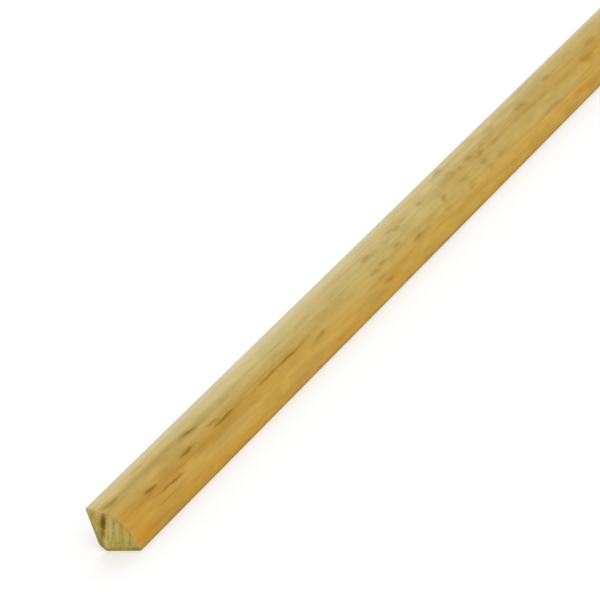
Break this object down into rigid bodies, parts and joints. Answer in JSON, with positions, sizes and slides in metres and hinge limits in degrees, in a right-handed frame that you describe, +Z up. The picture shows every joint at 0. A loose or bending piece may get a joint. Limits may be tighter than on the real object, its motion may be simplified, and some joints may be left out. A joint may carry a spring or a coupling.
{
  "type": "quarter round moulding",
  "caption": "Straight stick of clear pine with a quarter-circle section, two flat faces and a relieved back corner.",
  "frame": {"origin": "on the floor face, half way along the stick and half way between its toe and its wall face", "axes": "+X along the stick, -Y towards the toe on the room side, +Y out of the wall face, +Z up"},
  "size_m": [2.4384, 0.019, 0.019],
  "materials": {
    "clear_pine": "matte"
  },
  "bodies": {
    "root": {"quarter_round_moulding": "clear_pine"}
  },
  "joints": []
}
